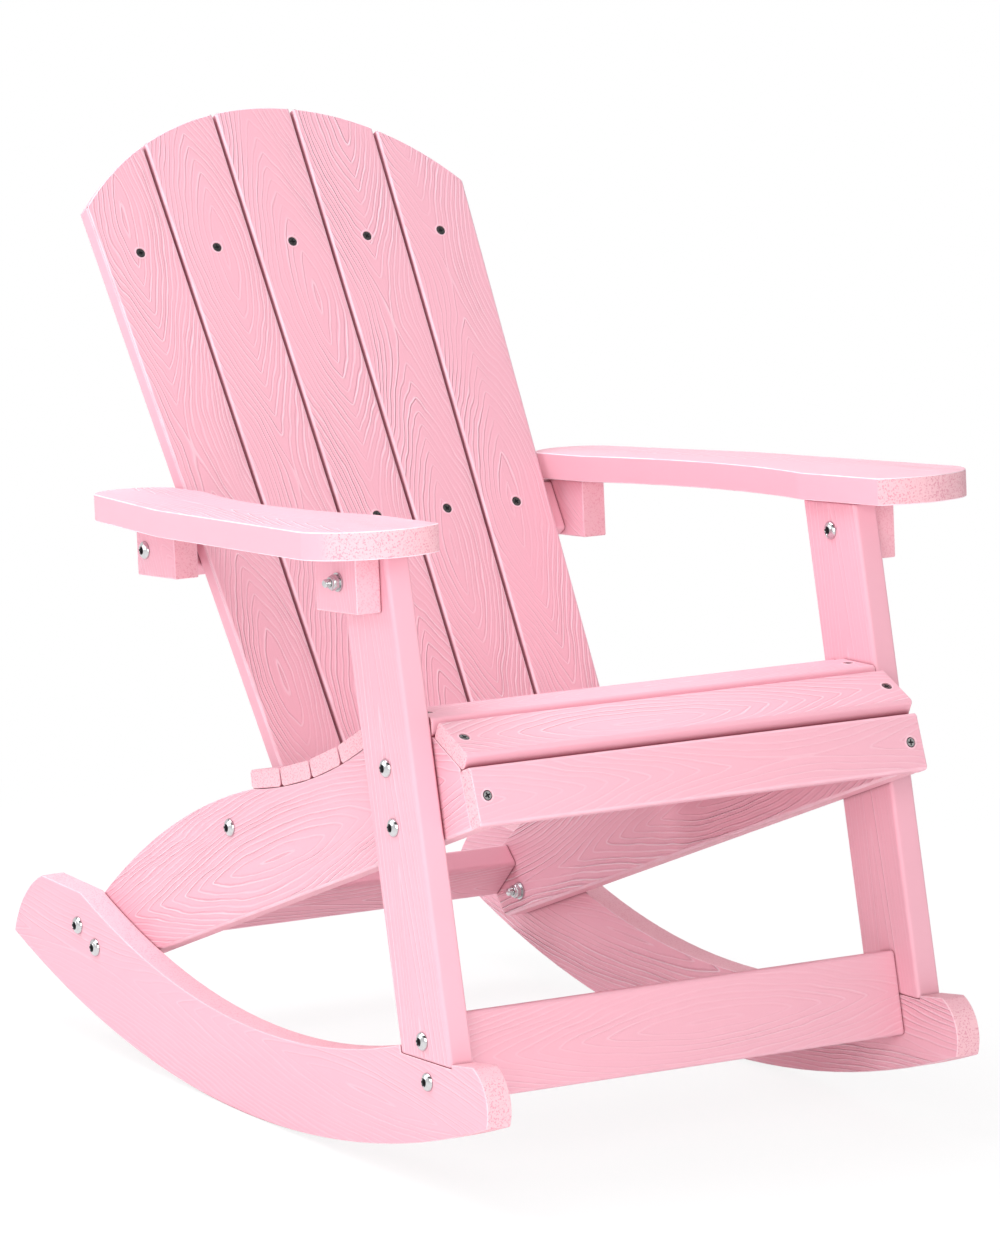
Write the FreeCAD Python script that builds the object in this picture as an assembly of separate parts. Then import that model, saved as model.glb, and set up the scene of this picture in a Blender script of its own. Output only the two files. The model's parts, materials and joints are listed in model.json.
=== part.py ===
import FreeCAD, Part
import math
import os

# Child's rocking adirondack chair, built of sawn and rounded plastic planks, in millimetres.
# The front faces -Y and the chair stands on its two rockers at Z = 0.
# Side views are drawn as (y, z), with y = 0 where the rockers touch the floor.

# Planks
frame_thickness = 20.0
leg_width = 65.0
stretcher_width = 62.0
slat_thickness = 14.0
slat_width = 42.0
rail_width = 42.0
low_rail_width = 24.0
plank_rounding = 3.0
sawn_rounding = 1.2
fit_gap = 0.3

# Densities, in grams per cubic centimetre
plastic_density = 0.95
steel_density = 7.85

# Overall widths
legs_apart = 380.0
rail_inner = legs_apart / 2 - frame_thickness
rail_outer = legs_apart / 2
leg_outer = legs_apart / 2 + frame_thickness

# Rockers
rocker_radius = 933.0
rocker_depth = 66.0
rocker_top_radius = 686.0
rocker_top_shift = -7.0
nose_radius = 33.0
nose_at = (-267.5, 60.0)
nose_shoulder_height = 90.0
tail_radius = 77.0
tail_at = (308.0, 60.0)
tail_shoulder = (336.8, 131.4)
tail_corner_y = 276.0

# Front legs
leg_lean = 12.3
leg_foot = (-253.2, 84.0)
leg_notch_play = 0.3

# Seat rails
rail_front_lean = 19.4
apron_under_nose = 2.4
rail_heel = (276.0, 64.6)
hollow_radius = 466.0
hollow_start = (49.5, 236.9)
hollow_start_slope = 7.5
shoulder_radius = 602.7
rail_tail_top = (292.0, 111.2)
rail_tail_drop = 28.0

# Seat slats
hollow_slats = 4
slat_gap = 2.6
ramp_slope = 22.4
nose_slope = 26.0
nose_run = 37.3
slat_end_play = 0.4

# Back
back_lean = 30.7
back_corner = (317.2, 641.3)
back_slats = 5
back_pitch = 67.4
back_pitch_low = 57.8
back_gap = 2.6
back_below = 508.5
back_arch = 74.0
back_edge_rounding = 2.4
top_row = 40.3
cleat_half_length = 150.0

# Armrests, seen from above, as (x, y)
arm_slope = 2.9
arm_height = 461.0
arm_height_y = -209.0
arm_inner_front = (186.0, -210.0)
arm_front_mid = (214.0, -223.0)
arm_front_outer = (246.0, -220.0)
arm_corner_mid = (269.0, -205.0)
arm_outer_front = (280.0, -177.0)
arm_outer_bend = (260.0, 57.0)
arm_outer_rear = (226.0, 211.0)
arm_rear_mid = (203.0, 231.0)
arm_inner_rear = (161.0, 206.0)
arm_inner_waist_rear = (165.0, 149.0)
arm_inner_waist = (191.0, 9.0)
arm_inner_bend = (181.0, -121.0)

# Blocks that carry the armrests
block_length = 56.0
block_height = 43.5
block_bolt_below_arm = 24.3
block_bolt_from_front = 41.0
front_bracket_y = -168.0

# Front stretcher and rear crossbar
stretcher_at = (-219.1, 83.5)
crossbar_at = (280.5, 101.5)
crossbar_turn = 45.0

# Bolts, with domed heads, washers, lock nuts and barrel nuts
bolt_diameter = 6.0
bolt_head_diameter = 13.6
bolt_head_height = 3.8
socket_width = 4.0
socket_depth = 2.6
hole_play = 0.5
nut_width = 10.0
nut_height = 6.0
washer_diameter = 13.5
washer_thickness = 1.2
bolt_past_nut = 4.5
barrel_diameter = 10.0
barrel_length = 12.0
barrel_from_end = 30.0
bolt_past_barrel = 4.0
leg_bolt_spacing = 42.0
leg_bolt_over_rail_foot = 40.7
leg_bolt_from_front = 36.2
stretcher_bolt_spacing = 28.6
bracket_bolt_from_front = 22.0
bracket_bolt_below_arm = 21.8
rocker_bolt_at = (254.2, 88.6)

# Screws with countersunk heads
screw_diameter = 3.6
screw_head_diameter = 8.0
screw_head_depth = 3.0
screw_play = 0.15
seat_screw_length = 36.0
back_screw_length = 30.0
screw_point_cover = 3.0
arm_screw_length = 56.0
arm_screws_from_front = (10.0, 32.0)

X = FreeCAD.Vector(1, 0, 0)
Y = FreeCAD.Vector(0, 1, 0)
Z = FreeCAD.Vector(0, 0, 1)
ORIGIN = FreeCAD.Vector(0, 0, 0)


def side_point(yz, x=0.0):
    return FreeCAD.Vector(x, yz[0], yz[1])


def toward(point, angle, distance):
    """The (y, z) point at a distance, at an angle in degrees up from +Y."""
    turn = math.radians(angle)
    return (point[0] + distance * math.cos(turn), point[1] + distance * math.sin(turn))


def line(a, b):
    return Part.LineSegment(side_point(a), side_point(b)).toShape()


def arc(a, mid, b):
    return Part.Arc(side_point(a), side_point(mid), side_point(b)).toShape()


def on_circle(centre, radius, y, side):
    """The point of a circle at y, on its upper (1) or lower (-1) half."""
    return (y, centre[1] + side * math.sqrt(radius ** 2 - (y - centre[0]) ** 2))


def side_plate(edges, x_from, x_to):
    """A plate cut to an outline in the side view, from one x to another."""
    face = Part.Face(Part.Wire(edges))
    plate = face.extrude(X * (x_to - x_from))
    plate.translate(X * x_from)
    return plate


def long_edges(shape, direction, keep=None):
    """Straight edges along a direction, or those of them that keep() picks."""
    picked = []
    for edge in shape.Edges:
        if not isinstance(edge.Curve, (Part.Line, Part.LineSegment)):
            continue
        if edge.tangentAt(edge.FirstParameter).cross(direction).Length > 1e-4:
            continue
        if keep is None or keep(edge.CenterOfMass):
            picked.append(edge)
    return picked


def plank(half_length, width, thickness, rounding=plank_rounding):
    """A plank along X: its width runs from 0 to -Y and its thickness from 0 to +Z."""
    corner = FreeCAD.Vector(-half_length, -width, 0)
    box = Part.makeBox(2 * half_length, width, thickness, corner)
    return box.makeFillet(rounding, long_edges(box, X))


def cross_plank(half_length, width, thickness, corner, slope):
    """A plank across the chair, from its lower rear corner, rising forward at a slope."""
    board = plank(half_length, width, thickness)
    board.rotate(ORIGIN, X, -slope)
    board.translate(side_point(corner))
    return board


def rod(start, direction, radius, length):
    return Part.makeCylinder(radius, length, start, direction)


def mirrored(shape):
    return shape.mirror(ORIGIN, X)


# Seat rail outline and the places of the seat slats on it

def hollow_point(angle):
    """The point of the seat's hollow where it has risen to a slope, towards the front."""
    start, turn = math.radians(hollow_start_slope), math.radians(angle)
    return (hollow_start[0] + hollow_radius * (math.sin(start) - math.sin(turn)),
            hollow_start[1] + hollow_radius * (math.cos(start) - math.cos(turn)))


def seat_places():
    """Lower rear corner and slope of each seat slat, from the back to the nose."""
    places = []
    angle = hollow_start_slope
    slat_turn = 2 * math.degrees(math.asin(slat_width / 2 / hollow_radius))
    gap_turn = math.degrees(slat_gap / hollow_radius)
    for _ in range(hollow_slats):
        places.append((hollow_point(angle), angle + slat_turn / 2))
        angle += slat_turn + gap_turn
    hollow_end = hollow_point(angle)
    places.append((hollow_end, ramp_slope))
    ramp_top = toward(hollow_end, 180 - ramp_slope, slat_width)
    crest_rear = (ramp_top[0] - slat_gap, ramp_top[1])
    places.append((crest_rear, 0.0))
    nose_rear = (crest_rear[0] - slat_width - slat_gap, crest_rear[1])
    places.append((nose_rear, -nose_slope))
    return places, hollow_end, ramp_top, nose_rear


SEAT_PLACES, HOLLOW_END, RAMP_TOP, NOSE_REAR = seat_places()
RAIL_FRONT_TOP = toward(NOSE_REAR, 180 + nose_slope, nose_run)
RAIL_FRONT_FOOT = toward(RAIL_FRONT_TOP, 270 - rail_front_lean, slat_width + apron_under_nose)


def rail_bottom(y):
    """The height of the straight line from the foot of the rail's front end to its heel."""
    fall = (RAIL_FRONT_FOOT[1] - rail_heel[1]) / (rail_heel[0] - RAIL_FRONT_FOOT[0])
    return rail_heel[1] + fall * (rail_heel[0] - y)


def arc_middle(a, b, radius):
    """The middle of the arc of a radius from a to b that bulges up."""
    half = 0.5 * math.hypot(b[0] - a[0], b[1] - a[1])
    rise = radius - math.sqrt(radius ** 2 - half ** 2)
    normal = ((a[1] - b[1]) / (2 * half), (b[0] - a[0]) / (2 * half))
    return (0.5 * (a[0] + b[0]) + rise * normal[0], 0.5 * (a[1] + b[1]) + rise * normal[1])


def seat_rail():
    """The curved stringer, x from the inner to the outer face of the right-hand side."""
    hollow_mid = hollow_point(0.5 * (hollow_start_slope + SEAT_PLACES[hollow_slats - 1][1]))
    shoulder_mid = arc_middle(hollow_start, rail_tail_top, shoulder_radius)
    tail_low = (rail_tail_top[0], rail_tail_top[1] - rail_tail_drop)
    tail_mid = (rail_tail_top[0] + rail_tail_drop / 4, rail_tail_top[1] - rail_tail_drop / 2)
    edges = [line(RAIL_FRONT_FOOT, rail_heel), line(rail_heel, tail_low),
             arc(tail_low, tail_mid, rail_tail_top), arc(rail_tail_top, shoulder_mid, hollow_start),
             arc(hollow_start, hollow_mid, HOLLOW_END), line(HOLLOW_END, RAMP_TOP), line(RAMP_TOP, NOSE_REAR),
             line(NOSE_REAR, RAIL_FRONT_TOP), line(RAIL_FRONT_TOP, RAIL_FRONT_FOOT)]
    plate = side_plate(edges, rail_inner, rail_outer)
    along = side_point(rail_heel) - side_point(RAIL_FRONT_FOOT)
    return plate.makeFillet(plank_rounding, long_edges(plate, along.normalize()))


# Rockers and legs

def meet_rocker_bottom(centre, radius, side):
    """Where an end circle of the rocker meets its bottom arc, in front (-1) or behind (1)."""
    between = math.hypot(centre[0], centre[1] - rocker_radius)
    along = (between ** 2 + rocker_radius ** 2 - radius ** 2) / (2 * between)
    across = math.sqrt(rocker_radius ** 2 - along ** 2)
    unit = (centre[0] / between, (centre[1] - rocker_radius) / between)
    return (along * unit[0] - side * across * unit[1],
            rocker_radius + along * unit[1] + side * across * unit[0])


def leg_front_at(z):
    return leg_foot[0] + math.tan(math.radians(leg_lean)) * (z - leg_foot[1])


def leg_level_width():
    return leg_width / math.cos(math.radians(leg_lean))


def rocker():
    top_centre = (rocker_top_shift, rocker_depth + rocker_top_radius)
    nose_top = on_circle(nose_at, nose_radius, nose_at[0] - math.sqrt(
        nose_radius ** 2 - (nose_shoulder_height - nose_at[1]) ** 2), 1)
    nose_low = meet_rocker_bottom(nose_at, nose_radius, -1)
    nose_mid = (nose_at[0] - nose_radius, nose_at[1])
    tail_low = meet_rocker_bottom(tail_at, tail_radius, 1)
    tail_top = on_circle(tail_at, tail_radius, tail_shoulder[0], 1)
    tail_mid = toward(tail_at, 42.0, tail_radius)
    corner = on_circle(top_centre, rocker_top_radius, tail_corner_y, -1)
    notch_front = (leg_foot[0] - leg_notch_play, leg_foot[1])
    notch_rear = (leg_foot[0] + leg_level_width() + leg_notch_play, leg_foot[1])
    notch_top = on_circle(top_centre, rocker_top_radius, notch_rear[0], -1)
    for _ in range(8):
        leg_rear = leg_front_at(notch_top[1]) + leg_level_width() + leg_notch_play
        notch_top = on_circle(top_centre, rocker_top_radius, leg_rear, -1)
    shoulder = (notch_front[0], leg_foot[1] + 0.5 * (nose_shoulder_height - leg_foot[1]))
    middle = on_circle(top_centre, rocker_top_radius, 0.5 * (notch_top[0] + corner[0]), -1)
    edges = [arc(nose_low, (0.0, 0.0), tail_low), arc(tail_low, tail_mid, tail_top),
             line(tail_top, corner), arc(corner, middle, notch_top), line(notch_top, notch_rear),
             line(notch_rear, notch_front), line(notch_front, shoulder), line(shoulder, nose_top),
             arc(nose_top, nose_mid, nose_low)]
    return side_plate(edges, rail_outer, leg_outer)


def arm_top_at(y):
    return arm_height - math.tan(math.radians(arm_slope)) * (y - arm_height_y)


def arm_bottom_at(y):
    return arm_top_at(y) - frame_thickness / math.cos(math.radians(arm_slope))


def leg_top_point(offset):
    """Where a line of the leg, offset back from its front edge, meets the armrest's underside."""
    lean = math.tan(math.radians(leg_lean))
    slope = math.tan(math.radians(arm_slope))
    base = (leg_foot[0] + offset, leg_foot[1])
    rise = (arm_bottom_at(base[0]) - base[1]) / (1 + slope * lean)
    return (base[0] + lean * rise, base[1] + rise)


def front_leg():
    foot_rear = (leg_foot[0] + leg_level_width(), leg_foot[1])
    edges = [line(leg_foot, foot_rear), line(foot_rear, leg_top_point(leg_level_width())),
             line(leg_top_point(leg_level_width()), leg_top_point(0.0)), line(leg_top_point(0.0), leg_foot)]
    plate = side_plate(edges, rail_outer, leg_outer)
    along = side_point(leg_top_point(0.0)) - side_point(leg_foot)
    return plate.makeFillet(plank_rounding, long_edges(plate, along.normalize()))


# Armrests and the blocks under them

def plan_point(xy):
    return FreeCAD.Vector(xy[0], xy[1] - arm_height_y, -frame_thickness)


def plan_line(a, b):
    return Part.LineSegment(plan_point(a), plan_point(b)).toShape()


def plan_arc(a, mid, b):
    return Part.Arc(plan_point(a), plan_point(mid), plan_point(b)).toShape()


def tilt_with_arm(shape):
    """Lays a shape drawn level, with the armrest's top at Z = 0, into the armrest's slope."""
    shape.rotate(ORIGIN, X, -arm_slope)
    shape.translate(side_point((arm_height_y, arm_height)))
    return shape


def armrest():
    """A board sawn to its outline, widest at the hand and curved in at the elbow."""
    edges = [plan_arc(arm_inner_front, arm_front_mid, arm_front_outer),
             plan_arc(arm_front_outer, arm_corner_mid, arm_outer_front),
             plan_line(arm_outer_front, arm_outer_bend), plan_line(arm_outer_bend, arm_outer_rear),
             plan_arc(arm_outer_rear, arm_rear_mid, arm_inner_rear),
             plan_line(arm_inner_rear, arm_inner_waist_rear),
             plan_arc(arm_inner_waist_rear, arm_inner_waist, arm_inner_bend),
             plan_line(arm_inner_bend, arm_inner_front)]
    return tilt_with_arm(Part.Face(Part.Wire(edges)).extrude(Z * frame_thickness))


def arm_block(y_front, x_inner):
    """A block under the armrest: its lower long edges keep the plank's rounding."""
    corner = FreeCAD.Vector(x_inner, y_front - arm_height_y, -frame_thickness - block_height)
    box = Part.makeBox(frame_thickness, block_length, block_height, corner)
    lower = long_edges(box, Y, lambda c: c.z < -frame_thickness - block_height + 1)
    return tilt_with_arm(box.makeFillet(sawn_rounding, lower))


# The back: slats drawn flat as (x, height over the corner), front face at Z = 0

def lay_back(shape):
    """Leans a shape drawn flat, front face up, into the plane of the back."""
    shape.rotate(ORIGIN, X, 90 - back_lean)
    shape.translate(side_point(back_corner))
    return shape


def pitch_at(below):
    return back_pitch + (back_pitch_low - back_pitch) * below / back_below


def back_half_width(below):
    return back_slats / 2 * pitch_at(below) - back_gap / 2


def arch_radius():
    half = back_half_width(0.0)
    return (half ** 2 + back_arch ** 2) / (2 * back_arch)


def arch_over(x):
    return math.sqrt(arch_radius() ** 2 - x ** 2) - arch_radius() + back_arch


def edge_on_arch(share, offset):
    """Where the fanned edge at a share of the pitch, shifted by an offset, meets the arch."""
    height = 0.0
    for _ in range(12):
        x = share * pitch_at(-height) + offset
        height = arch_over(x)
    return FreeCAD.Vector(x, height, 0)


def back_slat(index):
    share = index - (back_slats - 1) / 2
    left_top = edge_on_arch(share - 0.5, back_gap / 2)
    right_top = edge_on_arch(share + 0.5, -back_gap / 2)
    left_foot = FreeCAD.Vector((share - 0.5) * back_pitch_low + back_gap / 2, -back_below, 0)
    right_foot = FreeCAD.Vector((share + 0.5) * back_pitch_low - back_gap / 2, -back_below, 0)
    middle_x = 0.5 * (left_top.x + right_top.x)
    crown = FreeCAD.Vector(middle_x, arch_over(middle_x), 0)
    edges = [Part.LineSegment(left_foot, right_foot).toShape(),
             Part.LineSegment(right_foot, right_top).toShape(),
             Part.Arc(right_top, crown, left_top).toShape(),
             Part.LineSegment(left_top, left_foot).toShape()]
    board = Part.Face(Part.Wire(edges)).extrude(Z * -slat_thickness)
    sides = long_edges(board, (left_top - left_foot).normalize())
    sides += long_edges(board, (right_top - right_foot).normalize())
    return board.makeFillet(back_edge_rounding, sides)


def back_board(half_length, row, width, thickness):
    """A board behind the slats, its middle at a row below the back's corner."""
    board = plank(half_length, width, thickness)
    board.translate(FreeCAD.Vector(0, -row + width / 2, -slat_thickness - thickness))
    return board


def middle_row():
    """The row of the back where its middle rail meets the bolts of the rear arm blocks."""
    lean, slope = math.radians(back_lean), math.radians(arm_slope)
    depth = slat_thickness + frame_thickness / 2
    y = back_corner[0] + depth * math.cos(lean)
    z = back_corner[1] - depth * math.sin(lean)
    bolt_height = arm_bottom_at(y) - block_bolt_below_arm
    return (z - bolt_height) / (math.cos(lean) + math.tan(slope) * math.sin(lean))


def low_row():
    """The lower rail ends level with the slats' feet."""
    return back_below - low_rail_width / 2


def back_point(x, row, depth):
    """A point in the chair, from its place in the flat back: depth is behind the front face."""
    flat = Part.Vertex(x, -row, -depth)
    return lay_back(flat).Point


def rear_block_y():
    bolt = back_point(0, middle_row(), slat_thickness + frame_thickness / 2)
    return bolt.y - block_bolt_from_front


# Boards across the chair

def stretcher():
    board = plank(rail_outer, stretcher_width, frame_thickness)
    board.translate(FreeCAD.Vector(0, stretcher_width / 2, -frame_thickness / 2))
    board.rotate(ORIGIN, X, 90 - leg_lean)
    board.translate(side_point(stretcher_at))
    return board


def crossbar():
    board = plank(rail_inner, rail_width, frame_thickness)
    board.translate(FreeCAD.Vector(0, rail_width / 2, -frame_thickness / 2))
    board.rotate(ORIGIN, X, -crossbar_turn)
    board.translate(side_point(crossbar_at))
    return board


def apron():
    """The front apron stands against the rails' sawn front ends, level with their feet."""
    board = plank(rail_outer, slat_width, slat_thickness)
    board.translate(Z * -slat_thickness)
    board.rotate(ORIGIN, X, -90 - rail_front_lean)
    board.translate(side_point(RAIL_FRONT_FOOT))
    return board


# Fasteners: a list of (solid, hole) pairs, each hole as a cutter

def bolt(seat, direction, grip, past):
    """A domed socket bolt whose head sits on a point, its shank along a direction."""
    dome_radius = ((bolt_head_diameter / 2) ** 2 + bolt_head_height ** 2) / (2 * bolt_head_height)
    rim = FreeCAD.Vector(bolt_head_diameter / 2, 0, 0)
    half = bolt_head_diameter / 4
    dome_mid = FreeCAD.Vector(half, 0, math.sqrt(dome_radius ** 2 - half ** 2) - dome_radius + bolt_head_height)
    top = FreeCAD.Vector(0, 0, bolt_head_height)
    outline = [Part.LineSegment(ORIGIN, rim).toShape(), Part.Arc(rim, dome_mid, top).toShape(),
               Part.LineSegment(top, ORIGIN).toShape()]
    head = Part.Face(Part.Wire(outline)).revolve(ORIGIN, Z, 360)
    head = head.cut(hexagon(socket_width, socket_depth + 1, bolt_head_height - socket_depth))
    shank = rod(ORIGIN, -Z, bolt_diameter / 2, grip + past)
    shape = head.fuse(shank).removeSplitter()
    return aimed(shape, seat, direction)


def hexagon(width, height, base):
    circle = width / math.sqrt(3)
    corners = [FreeCAD.Vector(circle * math.cos(math.radians(60 * k)), circle * math.sin(math.radians(60 * k)), base)
               for k in range(7)]
    return Part.Face(Part.makePolygon(corners)).extrude(Z * height)


def aimed(shape, seat, direction):
    """Turns a fastener drawn pointing down -Z so that it points along a direction."""
    shape.Placement = FreeCAD.Placement(seat, FreeCAD.Rotation(-Z, direction))
    return shape


def lock_nut(seat, direction):
    """A nut on a point, its height along a direction."""
    nut = hexagon(nut_width, -nut_height, 0).cut(rod(ORIGIN, -Z, (bolt_diameter + hole_play) / 2, nut_height))
    return aimed(nut, seat, direction)


def washer(seat, direction):
    ring = rod(ORIGIN, -Z, washer_diameter / 2, washer_thickness)
    ring = ring.cut(rod(ORIGIN, -Z, (bolt_diameter + hole_play) / 2, washer_thickness))
    return aimed(ring, seat, direction)


def barrel_nut(centre, axis, bolt_direction):
    """A cross dowel with a bore for the bolt."""
    start = centre - axis * (barrel_length / 2)
    dowel = rod(start, axis, barrel_diameter / 2, barrel_length)
    reach = barrel_diameter
    return dowel.cut(rod(centre - bolt_direction * reach, bolt_direction, (bolt_diameter + hole_play) / 2, 2 * reach))


def screw(seat, direction, length):
    """A countersunk screw with its flat head flush at a point."""
    head = Part.makeCone(screw_head_diameter / 2, screw_diameter / 2, screw_head_depth, ORIGIN, -Z)
    shape = head.fuse(rod(ORIGIN, -Z, screw_diameter / 2, length)).removeSplitter()
    return aimed(shape, seat, direction)


def screw_hole(seat, direction, length):
    head = Part.makeCone(screw_head_diameter / 2 + screw_play, screw_diameter / 2 + screw_play,
                         screw_head_depth, ORIGIN, -Z)
    shape = head.fuse(rod(ORIGIN, -Z, screw_diameter / 2 + screw_play, length + 1))
    return aimed(shape, seat, direction)


def clearance_hole(seat, direction, length):
    return rod(seat - direction, direction, (bolt_diameter + hole_play) / 2, length + 1)


parts = {}
groups = {}


def add_group(name, *solids):
    groups.setdefault(name, []).extend(solids)


def drill(names, cutter):
    for name in names:
        parts[name] = parts[name].cut(cutter).Solids[0]


def build_planks():
    parts["rocker_right"] = rocker()
    parts["front_leg_right"] = front_leg()
    parts["seat_rail_right"] = seat_rail()
    parts["armrest_right"] = armrest()
    parts["front_arm_bracket_right"] = arm_block(front_bracket_y, leg_outer)
    parts["rear_arm_block_right"] = arm_block(rear_block_y(), rail_inner)
    for index in range(back_slats):
        parts[f"back_slat_{index + 1}"] = lay_back(back_slat(index))
    for index, (corner, slope) in enumerate(SEAT_PLACES):
        slat = cross_plank(rail_outer - slat_end_play, slat_width, slat_thickness, corner, slope)
        parts[f"seat_slat_{index + 1}"] = slat
    parts["front_apron"] = apron()
    parts["front_stretcher"] = stretcher()
    parts["rear_crossbar"] = crossbar()
    parts["back_top_cleat"] = lay_back(back_board(cleat_half_length, top_row, rail_width, slat_thickness))
    parts["back_middle_rail"] = lay_back(back_board(rail_inner, middle_row(), rail_width, frame_thickness))
    parts["back_lower_rail"] = lay_back(back_board(rail_inner, low_row(), low_rail_width, slat_thickness))


def through_bolt(name, yz, x_head, x_nut, holes):
    """A bolt along X through the right-hand pieces, with a washer and a lock nut."""
    inward = X if x_nut > x_head else -X
    seat = side_point(yz, x_head)
    grip = abs(x_nut - x_head)
    past = washer_thickness + nut_height + bolt_past_nut
    add_group(name, bolt(seat, inward, grip, past))
    face = side_point(yz, x_nut)
    add_group("washers", washer(face, inward))
    add_group("lock_nuts", lock_nut(face + inward * washer_thickness, inward))
    drill(holes, clearance_hole(seat, inward, grip + 1))


def end_bolt(name, yz, x_head, x_end, dowel_axis, holes, board):
    """A bolt along -X into the end of a board, held by a barrel nut in the board."""
    seat = side_point(yz, x_head)
    grip = x_head - x_end
    past = barrel_from_end + bolt_past_barrel
    add_group(name, bolt(seat, -X, grip, past))
    centre = side_point(yz, x_end - barrel_from_end)
    add_group("barrel_nuts", barrel_nut(centre, dowel_axis, -X))
    drill(holes, clearance_hole(seat, -X, grip + 1))
    pocket = rod(centre - dowel_axis * frame_thickness, dowel_axis, (barrel_diameter + hole_play) / 2,
                 frame_thickness + barrel_length / 2 + fit_gap)
    bore = clearance_hole(side_point(yz, x_end), -X, past + 1)
    for cutter in (pocket, bore, mirrored(pocket), mirrored(bore)):
        drill([board], cutter)


def leg_bolt_centre():
    """Midway between the two bolts of a leg and a seat rail, at its height over the rail's foot line."""
    lean = math.tan(math.radians(leg_lean))
    y_low = leg_foot[0] + leg_bolt_from_front
    fall = rail_bottom(y_low) - rail_bottom(y_low + 1)
    rise = (rail_bottom(y_low) + leg_bolt_over_rail_foot - leg_foot[1]) / (1 + lean * fall)
    return (y_low + lean * rise, leg_foot[1] + rise)


def build_bolts():
    up_leg = 90 - leg_lean
    centre = leg_bolt_centre()
    for side in (-1, 1):
        place = toward(centre, up_leg, side * leg_bolt_spacing / 2)
        through_bolt("leg_bolts", place, leg_outer, rail_inner, ["front_leg_right", "seat_rail_right"])
    bracket_y = front_bracket_y + bracket_bolt_from_front
    through_bolt("arm_bracket_bolts", (bracket_y, arm_bottom_at(bracket_y) - bracket_bolt_below_arm), rail_outer,
                 leg_outer + frame_thickness, ["front_leg_right", "front_arm_bracket_right"])
    through_bolt("rocker_bolts", rocker_bolt_at, leg_outer, rail_inner, ["rocker_right", "seat_rail_right"])

    lean = math.radians(leg_lean)
    stretcher_back = FreeCAD.Vector(0, -math.cos(lean), math.sin(lean))
    end_bolt("stretcher_bolts", toward(stretcher_at, up_leg, stretcher_bolt_spacing / 2), leg_outer, rail_outer,
             stretcher_back, ["front_leg_right"], "front_stretcher")
    end_bolt("stretcher_bolts", toward(stretcher_at, up_leg, -stretcher_bolt_spacing / 2), leg_outer, rail_outer,
             stretcher_back, ["rocker_right"], "front_stretcher")

    turn = math.radians(crossbar_turn)
    crossbar_up = FreeCAD.Vector(0, -math.sin(turn), -math.cos(turn))
    end_bolt("crossbar_bolts", crossbar_at, leg_outer, rail_inner, crossbar_up,
             ["rocker_right", "seat_rail_right"], "rear_crossbar")

    back_turn = math.radians(back_lean)
    back_forward = FreeCAD.Vector(0, -math.cos(back_turn), math.sin(back_turn))
    middle = back_point(0, middle_row(), slat_thickness + frame_thickness / 2)
    end_bolt("arm_block_bolts", (middle.y, middle.z), rail_outer, rail_inner, back_forward,
             ["rear_arm_block_right"], "back_middle_rail")
    low = back_point(0, low_row(), slat_thickness + slat_thickness / 2)
    end_bolt("back_rail_bolts", (low.y, low.z), rail_outer, rail_inner, back_forward,
             ["seat_rail_right"], "back_lower_rail")


def put_screw(group, seat, direction, length, holes):
    add_group(group, screw(seat, direction, length))
    drill(holes, screw_hole(seat, direction, length))


def build_side_screws():
    """Screws of the right-hand side, to be mirrored with it."""
    x = 0.5 * (rail_inner + rail_outer)
    for index, (corner, slope) in enumerate(SEAT_PLACES):
        middle = toward(corner, 180 - slope, slat_width / 2)
        top = toward(middle, 90 - slope, slat_thickness)
        down = side_point(middle) - side_point(top)
        put_screw("seat_screws", side_point(top, x), down.normalize(), seat_screw_length,
                  [f"seat_slat_{index + 1}", "seat_rail_right"])
    front_middle = toward(RAIL_FRONT_FOOT, 90 - rail_front_lean, slat_width / 2)
    front_face = toward(front_middle, 180 - rail_front_lean, slat_thickness)
    inward = (side_point(front_middle) - side_point(front_face)).normalize()
    put_screw("apron_screws", side_point(front_face, x), inward, seat_screw_length,
              ["front_apron", "seat_rail_right"])
    slope = math.radians(arm_slope)
    up = FreeCAD.Vector(0, math.sin(slope), math.cos(slope))
    for y_front, x_inner, block in ((front_bracket_y, leg_outer, "front_arm_bracket_right"),
                                    (rear_block_y(), rail_inner, "rear_arm_block_right")):
        for from_front in arm_screws_from_front:
            flat = Part.Vertex(x_inner + frame_thickness / 2, y_front - arm_height_y + from_front,
                               -frame_thickness - block_height)
            seat = tilt_with_arm(flat).Point
            put_screw("armrest_screws", seat, up, arm_screw_length, [block, "armrest_right"])


def build_back_screws():
    lean = math.radians(back_lean)
    rearward = FreeCAD.Vector(0, math.cos(lean), -math.sin(lean))
    short = 2 * slat_thickness - screw_point_cover
    rows = ((top_row, "back_top_cleat", short), (middle_row(), "back_middle_rail", back_screw_length),
            (low_row(), "back_lower_rail", short))
    for index in range(back_slats):
        share = index - (back_slats - 1) / 2
        for row, board, length in rows:
            seat = back_point(share * pitch_at(row), row, 0.0)
            put_screw("back_screws", seat, rearward, length, [f"back_slat_{index + 1}", board])


def mirror_side():
    """Gives the left-hand side its own copies, and drills the boards that span both sides."""
    for name in [n for n in parts if n.endswith("_right")]:
        parts[name.replace("_right", "_left")] = mirrored(parts[name])
    for name, solids in groups.items():
        solids.extend([mirrored(s) for s in solids])


def drill_mirrored_slats():
    """The seat slats and the apron take the left-hand screws too."""
    for index in range(len(SEAT_PLACES)):
        name = f"seat_slat_{index + 1}"
        parts[name] = parts[name].common(mirrored(parts[name])).Solids[0]
    parts["front_apron"] = parts["front_apron"].common(mirrored(parts["front_apron"])).Solids[0]


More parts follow.
